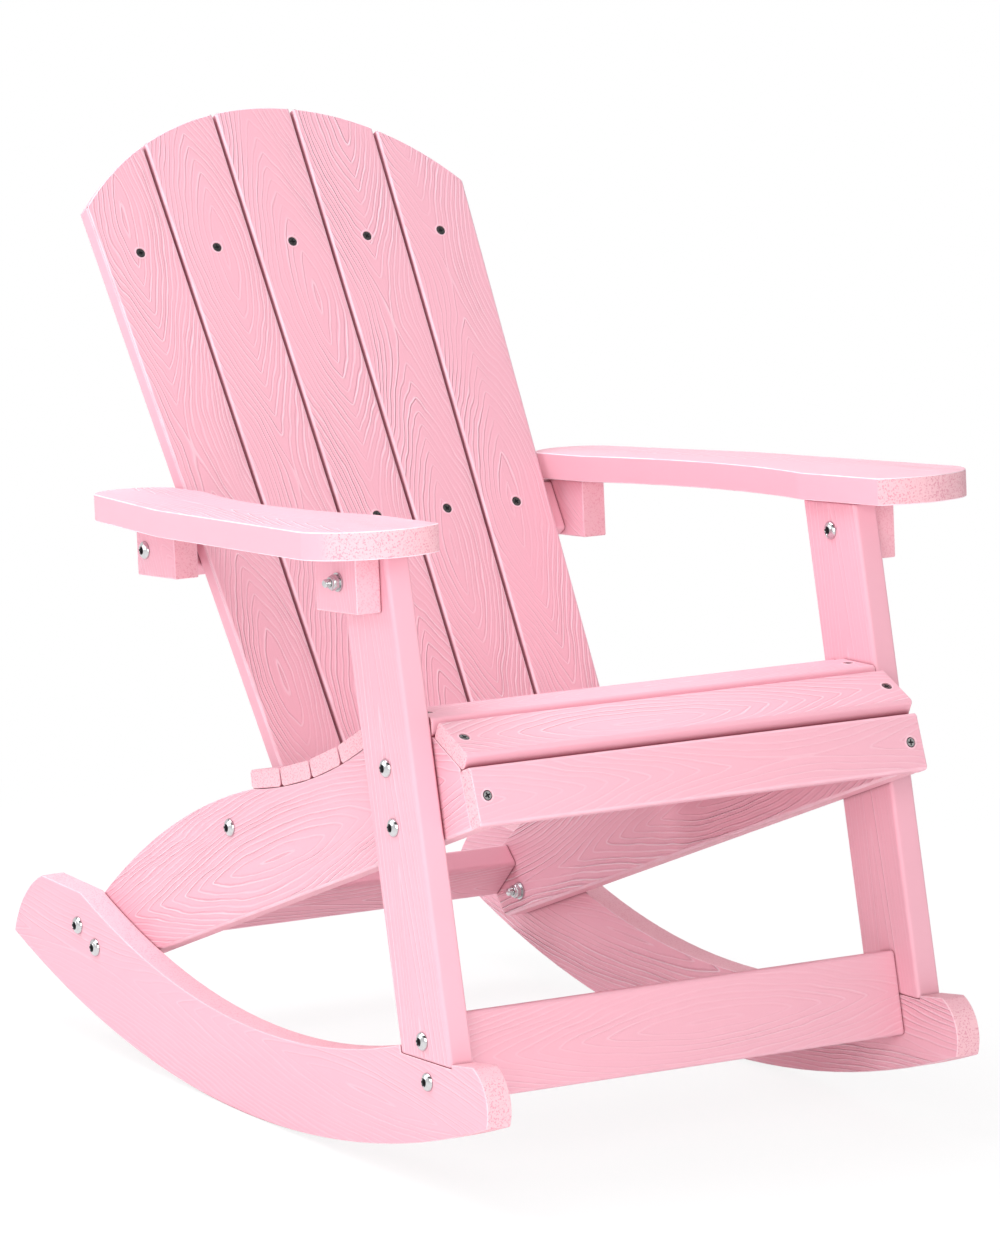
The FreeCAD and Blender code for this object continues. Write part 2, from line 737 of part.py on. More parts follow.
def balance_angle():
    """How far the chair leans back for its centre of mass to come over the point it rocks on."""
    pieces = [(shape, plastic_density) for shape in parts.values()]
    for solids in groups.values():
        pieces += [(solid.Solids[0], steel_density) for solid in solids]
    total = sum(solid.Volume * density for solid, density in pieces)
    centre = ORIGIN
    for solid, density in pieces:
        centre = centre + solid.CenterOfMass * (solid.Volume * density / total)
    return math.degrees(math.atan2(centre.y, rocker_radius - centre.z))


def export():
    """Rocks the chair to its balance, centres it over the floor and writes the files."""
    os.makedirs("parts", exist_ok=True)
    nodes = dict(parts)
    for name, solids in groups.items():
        nodes[name] = Part.makeCompound(solids)
    angle = balance_angle()
    box = FreeCAD.BoundBox()
    for shape in nodes.values():
        shape.rotate(side_point((0.0, rocker_radius)), X, -angle)
        box.add(shape.optimalBoundingBox(True, False))
    for name, shape in nodes.items():
        shape.translate(Y * -box.Center.y)
        shape.exportStep(f"parts/{name}.step")


build_planks()
build_bolts()
build_side_screws()
drill_mirrored_slats()
mirror_side()
build_back_screws()
export()
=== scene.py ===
import json
import math
from typing import NamedTuple

import bmesh
import bpy
import numpy as np
from mathutils import Matrix, Vector


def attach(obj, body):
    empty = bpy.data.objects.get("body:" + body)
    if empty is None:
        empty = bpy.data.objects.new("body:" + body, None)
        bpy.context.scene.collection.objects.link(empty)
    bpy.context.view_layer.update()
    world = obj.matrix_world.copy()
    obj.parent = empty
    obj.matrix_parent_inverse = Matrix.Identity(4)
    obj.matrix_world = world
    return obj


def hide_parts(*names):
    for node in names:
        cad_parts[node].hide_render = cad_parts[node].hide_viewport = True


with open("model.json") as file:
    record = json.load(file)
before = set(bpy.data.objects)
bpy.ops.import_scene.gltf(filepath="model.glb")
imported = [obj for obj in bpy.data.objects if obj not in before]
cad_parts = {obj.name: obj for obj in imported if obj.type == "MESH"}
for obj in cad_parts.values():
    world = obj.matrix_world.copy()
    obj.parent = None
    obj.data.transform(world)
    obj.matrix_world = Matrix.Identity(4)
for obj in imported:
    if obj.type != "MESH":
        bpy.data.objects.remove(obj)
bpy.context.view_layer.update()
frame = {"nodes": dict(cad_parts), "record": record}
nodes = frame["nodes"]

# The photograph's viewpoint, in degrees and metres, and its lens in millimetres
view_azimuth = -32.422
view_elevation = 10.877
view_roll = 0.523
view_distance = 5.148
view_aim = Vector((-0.0506, -0.1068, 0.3635))
view_lens = 205.2
sensor_width = 36.0

# Colours, linear
pink = (0.82, 0.43, 0.51, 1.0)
# pink_deep darkens saw pits, random patches, and paints shade in grain grooves
pink_deep = (0.70, 0.22, 0.32, 1.0)
# pink_pale paints highlight on grain ridges, and colours the pale raised burr round screws
pink_pale = (0.95, 0.74, 0.80, 1.0)
# Painted highlight along the eased edges of planks
pink_edge_highlight = (0.97, 0.80, 0.87, 1.0)
pink_sawn = (0.87, 0.52, 0.57, 1.0)
# Painted shade for crevices, gaps and joints
painted_crevice_shade = (0.30, 0.04, 0.07, 1.0)
bolt_grey = (0.70, 0.70, 0.71, 1.0)
bolt_dull = (0.315, 0.315, 0.3195, 1.0)
nut_grey = (0.62, 0.62, 0.63, 1.0)
nut_dull = (0.279, 0.279, 0.2835, 1.0)
screw_grey = (0.46, 0.45, 0.45, 1.0)
screw_dull = (0.207, 0.2025, 0.2025, 1.0)
# Painted shade for bolt sockets, screw crosses and the brink round screw heads
painted_socket_shade = (0.012, 0.012, 0.014, 1.0)
painted_socket_shade_grit = (0.048, 0.048, 0.056, 1.0)
floor_white = (0.95, 0.95, 0.95, 1.0)
light_white = (1.0, 1.0, 1.0, 1.0)

# Pressed grain: arches along a plank and lines beside them, in metres and lines per metre
arch_wave = 0.38
arch_rate = 92.0
flank_rate = 520.0
flank_bend = 1.25
least_rate_square = 60.0
heart_drift = 0.060
line_sway = 0.014
line_quiver = 0.0028
line_half_width = 0.00055
ridge_offset = 0.0010
faintest_line = 0.4

# Each plank takes its grain from its own place in the pattern, this far from the last plank's
seed_step = 3.7
seed_along = 0.731

# Depth of the grain's lines and of the saw marks, in millimetres, and of the fibres as a share of the lines
millimetre = 0.001
line_depth = 0.42
saw_depth = 0.12
fibre_share = 0.30

# How strongly each mark colours the lumber or steel, with painted shade in grooves and crevices and a
# painted highlight on ridges, and how far the painted shade in crevices reaches, in metres
groove_shade_tint = 0.22
ridge_highlight_tint = 0.60
pit_tint = 0.66
patch_tint = 0.08
crevice_shade_tint = 0.90
crevice_shade_reach = 0.005
mottle_tint = 0.35
grit_tint = 0.5

# The lumber's roughness, and what its patches, its saw cuts and the mottle on steel add
lumber_rough = 0.46
patch_rough = 0.12
cut_rough = 0.15
mottle_rough = 0.12

# Eased sawn edges: their width in metres, and in degrees which faces are in line and which edges are eased
edge_ease = 0.0009
leg_ease = 0.0022
ease_steps = 3
in_line_angle = 0.3
ease_angle = 38.0

# Screws, and the raised plastic round their heads, in metres. Tapers are shares of the wider end
screw_head_radius = 0.0031
screw_brink_radius = 0.0039
screw_brink_drop = 0.0005
screw_cross_reach = 0.0023
screw_cross_width = 0.00062
screw_cross_depth = 0.0016
screw_cross_taper = 0.72
screw_shank_taper = 0.40
screw_head_depth = 0.0028
screw_shank_length = 0.018
screw_sink = 0.0002
rim_radius = 0.0046
rim_slope = 0.0003
rim_height = 0.0003

# Bolts, in metres, with the places of the dome's rings in radians. Tapers are shares of the wider end
bolt_radius = 0.003
bolt_tip_chamfer = 0.0007
bolt_tip_taper = 0.75
bolt_head_radius = 0.0068
bolt_head_height = 0.0037
bolt_head_edge = 0.0003
bolt_dome_turns = (0.22, 0.44, 0.66, 0.86, 1.02)
bolt_socket_radius = 0.0030
bolt_socket_lip = 0.0002
bolt_socket_drop = 0.0006
bolt_socket_floor = 0.0008
bolt_socket_taper = 0.92
thread_pitch = 0.001
thread_depth = 0.0004

# Lock nuts, in metres. The outside has a share of the corners' radius, a height and a number of sides
nut_corner = 0.00577
nut_height = 0.006
nut_bore_play = 0.0001
nut_outside = ((0.88, 0.0, 0), (1.0, 0.0005, 6), (1.0, 0.0040, 6), (0.84, 0.0046, 0), (0.78, 0.0048, 0),
               (0.78, 0.0056, 0), (0.68, nut_height, 0))

# Sides of what is round, how near corners are merged, in metres, and above how many degrees edges stay crisp
round_sides = 24
merge_distance = 0.00001
steel_crisp_angle = 32.0
rim_crisp_angle = 60.0

# Nuts further out than this from the middle, in metres, bear on a leg's or rocker's outer side
legs_outer = 0.21

# Softboxes: azimuth and elevation in degrees, distance, width and height in metres, watts, colour
softboxes = {
    "left_softbox": (-112.0, 20.0, 1.15, 0.9, 0.7, 2.7, (0.93, 0.96, 1.0)),
    "front_softbox": (-30.0, 14.0, 1.5, 1.0, 0.8, 12.0, (1.0, 0.98, 0.97)),
    "top_softbox": (-132.0, 68.0, 2.4, 2.0, 1.8, 60.0, (0.96, 0.98, 1.0)),
    "rear_softbox": (150.0, 40.0, 2.8, 1.8, 1.2, 12.0, (0.97, 0.98, 1.0)),
}
softbox_aim = Vector((0.0, 0.0, 0.35))

# White surroundings: as light, in mirrors, overhead in mirrors, and the floor's half side in metres and glow
soft_level = 0.49
mirrored_share = 0.8
ceiling_depth = 0.80
floor_reach = 14.0
floor_glow_near = 0.87


class Finish(NamedTuple):
    """How sawn a plank's narrow sides are, how deep its grain and its painted grain shade and highlight, how
    close its arches, how strong the painted highlight on its edges.
    """

    sawn_sides: float
    relief: float
    arches: float
    edge_highlight: float


# The finish of each kind of plank. A node takes the first kind that its name starts with
finishes = {
    "rocker_right": Finish(sawn_sides=0.60, relief=1.3, arches=0.45, edge_highlight=0.5),
    "rocker": Finish(sawn_sides=0.60, relief=0.45, arches=0.45, edge_highlight=0.35),
    "seat_rail_right": Finish(sawn_sides=0.40, relief=1.6, arches=0.55, edge_highlight=0.4),
    "seat_rail": Finish(sawn_sides=0.30, relief=1.1, arches=0.55, edge_highlight=0.4),
    "armrest": Finish(sawn_sides=0.05, relief=1.3, arches=0.45, edge_highlight=0.9),
    "front_leg": Finish(sawn_sides=0.0, relief=0.55, arches=0.10, edge_highlight=0.0),
    "front_arm": Finish(sawn_sides=0.6, relief=0.5, arches=1.1, edge_highlight=0.3),
    "rear_arm": Finish(sawn_sides=0.0, relief=0.5, arches=1.1, edge_highlight=0.3),
    "front_stretcher": Finish(sawn_sides=0.0, relief=0.5, arches=0.6, edge_highlight=0.1),
    "front_apron": Finish(sawn_sides=0.0, relief=0.4, arches=0.6, edge_highlight=0.2),
    "rear_crossbar": Finish(sawn_sides=0.0, relief=1.1, arches=0.5, edge_highlight=0.1),
    "seat_slat": Finish(sawn_sides=0.0, relief=0.95, arches=0.7, edge_highlight=0.0),
    "back_slat": Finish(sawn_sides=0.0, relief=1.0, arches=1.0, edge_highlight=0.45),
    "back": Finish(sawn_sides=0.0, relief=0.8, arches=0.6, edge_highlight=0.2),
}


class Graph:
    """A node tree that is written left to right, one node a line."""

    def __init__(self, tree):
        self.tree = tree

    def add(self, kind, inputs=None, **settings):
        """A node with its settings, and with a value or another node's socket on each input."""
        node = self.tree.nodes.new(kind)
        for key, value in settings.items():
            setattr(node, key, value)
        for key, value in (inputs or {}).items():
            if isinstance(value, bpy.types.NodeSocket):
                self.tree.links.new(value, node.inputs[key])
            else:
                node.inputs[key].default_value = value
        return node

    def math(self, operation, a, b=0.0, c=0.0):
        return self.add("ShaderNodeMath", {0: a, 1: b, 2: c}, operation=operation).outputs[0]

    def ramp(self, value, low, high, to_low=0.0, to_high=1.0):
        """A smooth step from one value to another."""
        node = self.add("ShaderNodeMapRange", {0: value, 1: low, 2: high, 3: to_low, 4: to_high},
                        interpolation_type="SMOOTHSTEP")
        return node.outputs[0]

    def noise(self, vector, scale, detail=2.0, roughness=0.5):
        node = self.add("ShaderNodeTexNoise", {"Vector": vector, "Scale": scale, "Detail": detail,
                                               "Roughness": roughness})
        return node.outputs["Fac"]

    def drawn_noise(self, vector, along, across, through=1.0, detail=2.0, roughness=0.5):
        """Noise with its own scale along, across and through a plank."""
        node = self.add("ShaderNodeMapping", {"Vector": vector, "Scale": (along, across, through)})
        return self.noise(node.outputs[0], 1.0, detail, roughness)

    def wander(self, noise, reach):
        """Noise brought to minus and plus half a reach."""
        return self.math("MULTIPLY_ADD", noise, reach, -0.5 * reach)

    def axes(self, vector):
        return self.add("ShaderNodeSeparateXYZ", {0: vector}).outputs

    def mix(self, factor, a, b):
        return self.add("ShaderNodeMix", {0: factor, 6: a, 7: b}, data_type="RGBA").outputs[2]

    def placed_group(self, group, **inputs):
        """A shared node group with this material's own values."""
        return self.add("ShaderNodeGroup", inputs, node_tree=group).outputs

    def put_out(self, shader, kind="ShaderNodeOutputMaterial"):
        """The end of the tree: what a shader gives, as a material or a world."""
        self.add(kind, {0: shader.outputs[0]})


def new_group(name, inputs, outputs):
    """An empty shared node group with named sockets: its graph, and what its inputs give."""
    group = bpy.data.node_groups.new(name, "ShaderNodeTree")
    for label, kind in inputs.items():
        group.interface.new_socket(label, in_out="INPUT", socket_type=f"NodeSocket{kind}")
    for label in outputs:
        group.interface.new_socket(label, in_out="OUTPUT", socket_type="NodeSocketFloat")
    g = Graph(group)
    return group, g, g.add("NodeGroupInput").outputs


def grain_group():
    """Growth lines pressed into a plank: nested arches that open along its length. Groove and Ridge mask the
    painted shade and painted highlight.
    """
    group, g, given = new_group("pressed_grain", {"Plank": "Vector", "Seed": "Float", "Arches": "Float"},
                                ("Height", "Groove", "Ridge"))
    seed = given["Seed"]
    drawn = g.add("ShaderNodeCombineXYZ", {0: given["Arches"], 1: 1.0, 2: 1.0}).outputs[0]
    plank = g.add("ShaderNodeVectorMath", {0: given["Plank"], 1: drawn}, operation="MULTIPLY").outputs[0]
    shift = g.add("ShaderNodeCombineXYZ", {0: g.math("MULTIPLY", seed, seed_along), 2: seed}).outputs[0]
    place = g.add("ShaderNodeVectorMath", {0: plank, 1: shift}, operation="ADD").outputs[0]
    along, across, _ = g.axes(place)

    heart = g.wander(g.drawn_noise(place, 2.6, 0.0, detail=1.0), heart_drift)
    sway = g.wander(g.drawn_noise(place, 11.0, 28.0), line_sway)
    quiver = g.wander(g.drawn_noise(place, 45.0, 110.0, detail=1.0), line_quiver)
    off = g.math("ADD", g.math("SUBTRACT", across, heart), g.math("ADD", sway, quiver))
    reach = g.math("ABSOLUTE", off)
    flank = g.math("MULTIPLY", g.math("POWER", reach, flank_bend), flank_rate)
    turn = g.math("MULTIPLY", along, 2 * math.pi / arch_wave)
    arch = g.math("MULTIPLY", g.math("SINE", turn), arch_rate * arch_wave / (2 * math.pi))
    rings = g.math("ADD", flank, arch)

    across_rate = g.math("MULTIPLY", g.math("POWER", reach, flank_bend - 1.0), flank_bend * flank_rate)
    along_rate = g.math("MULTIPLY", g.math("COSINE", turn), arch_rate)
    across_square = g.math("MULTIPLY", across_rate, across_rate)
    along_square = g.math("MULTIPLY_ADD", along_rate, along_rate, least_rate_square)
    steep = g.math("SQRT", g.math("ADD", across_square, along_square))
    from_line = g.math("DIVIDE", g.math("SUBTRACT", g.math("FRACT", rings), 0.5), steep)
    off_line = g.math("ABSOLUTE", from_line)
    off_ridge = g.math("ABSOLUTE", g.math("SUBTRACT", from_line, ridge_offset))
    full, gone = 0.3 * line_half_width, 1.3 * line_half_width
    groove = g.ramp(off_line, full, gone, 1.0, 0.0)
    ridge = g.ramp(off_ridge, full, gone, 1.0, 0.0)
    hollow = g.ramp(off_line, 0.0, 0.95 * ridge_offset, 1.0, 0.0)
    crest = g.ramp(off_ridge, 0.0, 1.25 * ridge_offset, 1.0, 0.0)

    number = g.math("FLOOR", rings)
    chance = g.add("ShaderNodeTexWhiteNoise", {"W": g.math("ADD", number, seed)}, noise_dimensions="1D")
    strength = g.math("MULTIPLY_ADD", chance.outputs["Value"], 1.0 - faintest_line, faintest_line)
    fade = g.ramp(g.drawn_noise(place, 7.0, 24.0), 0.34, 0.60, 0.30, 1.0)
    strength = g.math("MULTIPLY", strength, fade)
    relief = g.math("MULTIPLY", g.math("SUBTRACT", crest, hollow), strength)
    fibres = g.drawn_noise(place, 22.0, 620.0, roughness=0.55)
    g.add("NodeGroupOutput", {"Height": g.math("MULTIPLY_ADD", fibres, fibre_share, relief),
                              "Groove": g.math("MULTIPLY", groove, strength),
                              "Ridge": g.math("MULTIPLY", ridge, strength)})
    return group


def sawn_group():
    """A sawn face: small pits, closer in some places, and faint blade marks across the cut."""
    group, g, given = new_group("sawn_face", {"Plank": "Vector"}, ("Height", "Pits"))
    grit = g.noise(given["Plank"], 760.0, 2.0, 0.6)
    crowd = g.wander(g.noise(given["Plank"], 90.0), 0.10)
    pits = g.ramp(g.math("ADD", grit, crowd), 0.53, 0.62)
    marks = g.math("MULTIPLY", g.drawn_noise(given["Plank"], 500.0, 500.0, 30.0, detail=1.0), 0.30)
    g.add("NodeGroupOutput", {"Height": g.math("SUBTRACT", marks, pits), "Pits": pits})
    return group


def edge_highlight_group():
    """Eased edges, painted pale as a highlight. Tilt is 1 on wide faces and 0 on narrow ones."""
    group, g, given = new_group("painted_edge_highlight", {"Plank": "Vector", "Tilt": "Float"}, ("Edge",))
    off_narrow = g.ramp(given["Tilt"], 0.10, 0.30)
    off_wide = g.ramp(given["Tilt"], 0.90, 0.985, 1.0, 0.0)
    strip = g.math("MULTIPLY", off_narrow, off_wide)
    patchy = g.ramp(g.noise(given["Plank"], 45.0), 0.35, 0.60, 0.55, 1.0)
    g.add("NodeGroupOutput", {"Edge": g.math("MULTIPLY", strip, patchy)})
    return group


def new_material(name):
    """An empty material and its graph."""
    material = bpy.data.materials.new(name)
    material.use_nodes = True
    material.node_tree.nodes.clear()
    return material, Graph(material.node_tree)


def plank_axes(node):
    """Centre of a plank, and its length, width and thickness directions as a rotation."""
    corners = np.array([vert.co for vert in node.data.vertices], dtype=float)
    centre = 0.5 * (corners.min(0) + corners.max(0))
    spread = np.linalg.eigh(np.cov((corners - corners.mean(0)).T))[1]
    length, width = Vector(spread[:, 2]), Vector(spread[:, 1])
    turn = Matrix((length, width, length.cross(width))).transposed()
    return Vector(centre), turn.to_euler()


def lumber_material(name, node, seed, finish, grain, sawn, edge_highlights):
    """Pink lumber for one plank: pressed grain on its wide faces, saw marks on its cut ones, painted
    highlight on grain ridges and eased edges, painted shade in grooves and crevices.
    """
    centre, turn = plank_axes(node)
    material, g = new_material(name)
    coords = g.add("ShaderNodeTexCoord").outputs
    plank = g.add("ShaderNodeMapping", {"Vector": coords["Object"], "Location": centre, "Rotation": turn},
                  vector_type="TEXTURE").outputs[0]
    facing = g.add("ShaderNodeMapping", {"Vector": coords["Normal"], "Rotation": turn},
                   vector_type="TEXTURE").outputs[0]
    lengthwise, _, through = g.axes(facing)
    tilt = g.math("ABSOLUTE", through)
    wide = g.ramp(tilt, 0.93, 0.99)
    end = g.ramp(g.math("ABSOLUTE", lengthwise), 0.50, 0.75)
    cut = g.math("MULTIPLY", g.math("MAXIMUM", end, finish.sawn_sides), g.math("SUBTRACT", 1.0, wide))

    rings = g.placed_group(grain, Plank=plank, Seed=seed, Arches=finish.arches)
    saw = g.placed_group(sawn, Plank=plank)
    edge = g.placed_group(edge_highlights, Plank=plank, Tilt=tilt)["Edge"]
    patch = g.noise(plank, 14.0, 3.0)
    pressed = g.math("MULTIPLY", g.math("MULTIPLY", rings["Height"], wide), line_depth * finish.relief)
    height = g.math("MULTIPLY_ADD", g.math("MULTIPLY", saw["Height"], cut), saw_depth, pressed)
    bump = g.add("ShaderNodeBump", {"Strength": 1.0, "Distance": millimetre, "Height": height})

    tint = g.mix(cut, pink, pink_sawn)
    pitted = g.math("MULTIPLY", saw["Pits"], cut)
    tint = g.mix(g.math("MULTIPLY", pitted, pit_tint), tint, pink_deep)
    grooved = g.math("MULTIPLY", rings["Groove"], wide)
    # Painted shade in the grain's grooves and painted highlight on its ridges, both stronger with deeper
    # relief
    tint = g.mix(g.math("MULTIPLY", grooved, groove_shade_tint * finish.relief), tint, pink_deep)
    ridged = g.math("MULTIPLY", rings["Ridge"], wide)
    tint = g.mix(g.math("MULTIPLY", ridged, ridge_highlight_tint * finish.relief), tint, pink_pale)
    tint = g.mix(g.math("MULTIPLY", patch, patch_tint), tint, pink_deep)
    # Painted highlight along the eased edges of the plank
    tint = g.mix(g.math("MULTIPLY", edge, finish.edge_highlight), tint, pink_edge_highlight)
    # Painted shade darkens crevices, gaps and joints where ambient occlusion finds them close
    openness = g.add("ShaderNodeAmbientOcclusion", {"Distance": crevice_shade_reach}, samples=8).outputs["AO"]
    tint = g.mix(g.ramp(openness, 0.15, 0.80, crevice_shade_tint, 0.0), tint, painted_crevice_shade)
    rough = g.math("MULTIPLY_ADD", cut, cut_rough, g.math("MULTIPLY_ADD", patch, patch_rough, lumber_rough))
    g.put_out(g.add("ShaderNodeBsdfPrincipled", {"Base Color": tint, "Roughness": rough,
                                                 "Normal": bump.outputs[0], "IOR": 1.46}))
    return material


def metal_material(name, bright, dull, roughness, threads):
    """Plated steel, with thread grooves round a bolt's shank where threads is 1."""
    material, g = new_material(name)
    coords = g.add("ShaderNodeTexCoord").outputs
    mottle = g.noise(coords["Object"], 380.0)
    rough = g.math("MULTIPLY_ADD", mottle, mottle_rough, roughness)
    tone = g.mix(g.math("MULTIPLY", mottle, mottle_tint), bright, dull)
    side_on = g.math("ABSOLUTE", g.axes(coords["Normal"])[0])
    shank = g.ramp(side_on, 0.02, 0.10, threads, 0.0)
    groove = g.math("PINGPONG", g.axes(coords["Object"])[0], 0.5 * thread_pitch)
    height = g.math("MULTIPLY", g.math("MULTIPLY", groove, 2.0 / thread_pitch), shank)
    bump = g.add("ShaderNodeBump", {"Strength": 1.0, "Distance": thread_depth, "Height": height})
    g.put_out(g.add("ShaderNodeBsdfPrincipled", {"Base Color": tone, "Metallic": 1.0, "Roughness": rough,
                                                 "Normal": bump.outputs[0]}))
    return material


def plain_material(name, colour, other, roughness):
    """Fine grit of two tones: the pale burr round a screw, and the painted shade inside a socket, a screw's
    cross and the brink round its head.
    """
    material, g = new_material(name)
    grit = g.noise(g.add("ShaderNodeTexCoord").outputs["Object"], 900.0)
    tint = g.mix(g.math("MULTIPLY", grit, grit_tint), colour, other)
    g.put_out(g.add("ShaderNodeBsdfPrincipled", {"Base Color": tint, "Roughness": roughness, "IOR": 1.5}))
    return material


def add_piece(name, shape, material):
    """A new piece of the chair from a finished bmesh."""
    mesh = bpy.data.meshes.new(name)
    shape.to_mesh(mesh)
    shape.free()
    piece = bpy.data.objects.new(name, mesh)
    bpy.context.scene.collection.objects.link(piece)
    mesh.materials.append(material)
    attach(piece, "root")
    return piece


def smooth_by_angle(piece, angle):
    """Smooth shading, with edges sharper than an angle in degrees left crisp."""
    for face in piece.data.polygons:
        face.use_smooth = True
    piece.data.set_sharp_from_angle(angle=math.radians(angle))


def merged_copy(name):
    """A node's shape as a bmesh, with the loose triangles of its mesh joined."""
    shape = bmesh.new()
    shape.from_mesh(nodes[name].data)
    bmesh.ops.remove_doubles(shape, verts=shape.verts, dist=merge_distance)
    return shape


def eased_plank(name, material, width):
    """A plank like its node, with the sharp sawn edges eased a little."""
    shape = merged_copy(name)
    in_line = math.radians(in_line_angle)
    bmesh.ops.dissolve_limit(shape, angle_limit=in_line, verts=shape.verts, edges=shape.edges)
    for face in shape.faces:
        face.smooth = True
    piece = add_piece(f"{name}_eased", shape, material)
    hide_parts(name)
    ease = piece.modifiers.new("eased_edges", "BEVEL")
    ease.width = width
    ease.segments = ease_steps
    ease.use_clamp_overlap = False
    ease.limit_method = "ANGLE"
    ease.angle_limit = math.radians(ease_angle)
    flat = piece.modifiers.new("flat_faces", "WEIGHTED_NORMAL")
    flat.mode = "FACE_AREA"
    flat.weight = 100


def separate_bodies(name):
    """The corners of each separate bolt, screw or nut in a node, as one array each."""
    shape = merged_copy(name)
    shape.verts.ensure_lookup_table()
    unseen = set(shape.verts)
    bodies = []
    for start in shape.verts:
        if start not in unseen:
            continue
        body = [start]
        unseen.discard(start)
        for vert in body:
            near = {other for edge in vert.link_edges for other in edge.verts} & unseen
            unseen -= near
            body.extend(sorted(near, key=lambda v: v.index))
        bodies.append(np.array([vert.co for vert in body]))
    shape.free()
    return bodies


def fastener_places(name):
    """Each fastener's centre under its head, its outward direction, and the reach of its shank."""
    places = []
    for corners in separate_bodies(name):
        middle = corners.mean(0)
        axis = np.linalg.eigh(np.cov((corners - middle).T))[1][:, 2]
        height = (corners - middle) @ axis
        spread = np.linalg.norm(corners - middle - np.outer(height, axis), axis=1)
        if height[spread.argmax()] < 0:
            axis, height = -axis, -height
        outermost = spread > 0.96 * spread.max()
        head = corners[outermost].mean(0)
        reach = (head - middle) @ axis - height.min()
        places.append((Vector(head), Vector(axis), float(reach)))
    return sorted(places, key=lambda p: tuple(round(c, 4) for c in p[0]))


def nut_places(name):
    """Each nut's seat, and the direction of its collar, away from the plank that it bears on."""
    places = []
    for corners in separate_bodies(name):
        low, high = corners.min(0), corners.max(0)
        middle = 0.5 * (low + high)
        side = math.copysign(1.0, middle[0])
        outward = side if abs(middle[0]) > legs_outer else -side
        seat = low[0] if outward > 0 else high[0]
        places.append((Vector((seat, middle[1], middle[2])), Vector((outward, 0.0, 0.0))))
    return places


def turned_to(place, axis):
    """The move that stands an upright body at a place, along an axis."""
    turn = Vector((0, 0, 1)).rotation_difference(axis)
    return Matrix.Translation(place) @ turn.to_matrix().to_4x4()


def new_corners(made):
    """The vertices among what an operator has made."""
    return [item for item in made["geom"] if isinstance(item, bmesh.types.BMVert)]


def rim_edges(shape, verts):
    """The open edges that run round a new body's last corners."""
    ring = set(verts)
    return [edge for edge in shape.edges if edge.is_boundary and ring.issuperset(edge.verts)]


def touching_faces(shape, verts):
    """The faces with a corner among these vertices, in the mesh's order."""
    near = set(verts)
    return [face for face in shape.faces if not near.isdisjoint(face.verts)]


def turned_outwards(shape, verts):
    """Merges what coincides in one new body and points its faces outwards. Gives its corners."""
    bmesh.ops.remove_doubles(shape, verts=verts, dist=merge_distance)
    corners = [vert for vert in verts if vert.is_valid]
    faces = touching_faces(shape, corners)
    bmesh.ops.recalc_face_normals(shape, faces=faces)
    swell = sum(face.calc_area() * face.normal.dot(face.calc_center_median()) for face in faces)
    if swell < 0.0:
        bmesh.ops.reverse_faces(shape, faces=faces)
    return corners


def drawn_down(shape, verts, spread, depth):
    """Draws the open rim of a body's last corners down by a depth and wider or narrower."""
    corners = new_corners(bmesh.ops.extrude_edge_only(shape, edges=rim_edges(shape, verts)))
    bmesh.ops.scale(shape, vec=(spread, spread, 1.0), verts=corners)
    bmesh.ops.translate(shape, vec=(0, 0, -depth), verts=corners)
    return corners


def head_disc(shape):
    """A screw head's flat top at the origin, and the faces of the cross in it."""
    reach = screw_cross_reach / screw_head_radius
    width = screw_cross_width / screw_head_radius
    levels = (-1.0, -reach, -width, width, reach, 1.0)
    cells = len(levels) - 1
    grid = bmesh.ops.create_grid(shape, x_segments=cells, y_segments=cells, size=1.0)["verts"]
    for vert in grid:
        x, y = (levels[round(0.5 * cells * (c + 1.0))] for c in vert.co.xy)
        if max(abs(x), abs(y)) == 1.0:
            edge = math.hypot(x, y)
            x, y = x / edge, y / edge
        vert.co = Vector((x, y, 0.0)) * screw_head_radius
    cross = []
    for face in touching_faces(shape, grid):
        x, y = (abs(c) for c in face.calc_center_median().xy)
        if min(x, y) < merge_distance and max(x, y) < screw_cross_reach:
            cross.append(face)
    return grid, cross


def add_screw(shape, place, axis, spin):
    """A countersunk head with a cross recess, on a plain shank, added to a mesh."""
    start = set(shape.verts)
    top, cross = head_disc(shape)
    recess = new_corners(bmesh.ops.extrude_face_region(shape, geom=cross))
    bmesh.ops.delete(shape, geom=cross, context="FACES")
    bmesh.ops.scale(shape, vec=(screw_cross_taper, screw_cross_taper, 1.0), verts=recess)
    bmesh.ops.translate(shape, vec=(0, 0, -screw_cross_depth), verts=recess)
    brink = drawn_down(shape, top, screw_brink_radius / screw_head_radius, screw_brink_drop)
    # The cross recess and the brink round the head take the painted shade
    for face in touching_faces(shape, recess + brink):
        face.material_index = 1
    neck = drawn_down(shape, brink, screw_shank_taper, screw_head_depth)
    tip = drawn_down(shape, neck, 1.0, screw_shank_length)
    bmesh.ops.edgeloop_fill(shape, edges=rim_edges(shape, tip))
    made = turned_outwards(shape, [vert for vert in shape.verts if vert not in start])
    bmesh.ops.translate(shape, vec=(0, 0, -screw_sink), verts=made)
    bmesh.ops.transform(shape, matrix=turned_to(place, axis) @ Matrix.Rotation(spin, 4, "Z"), verts=made)


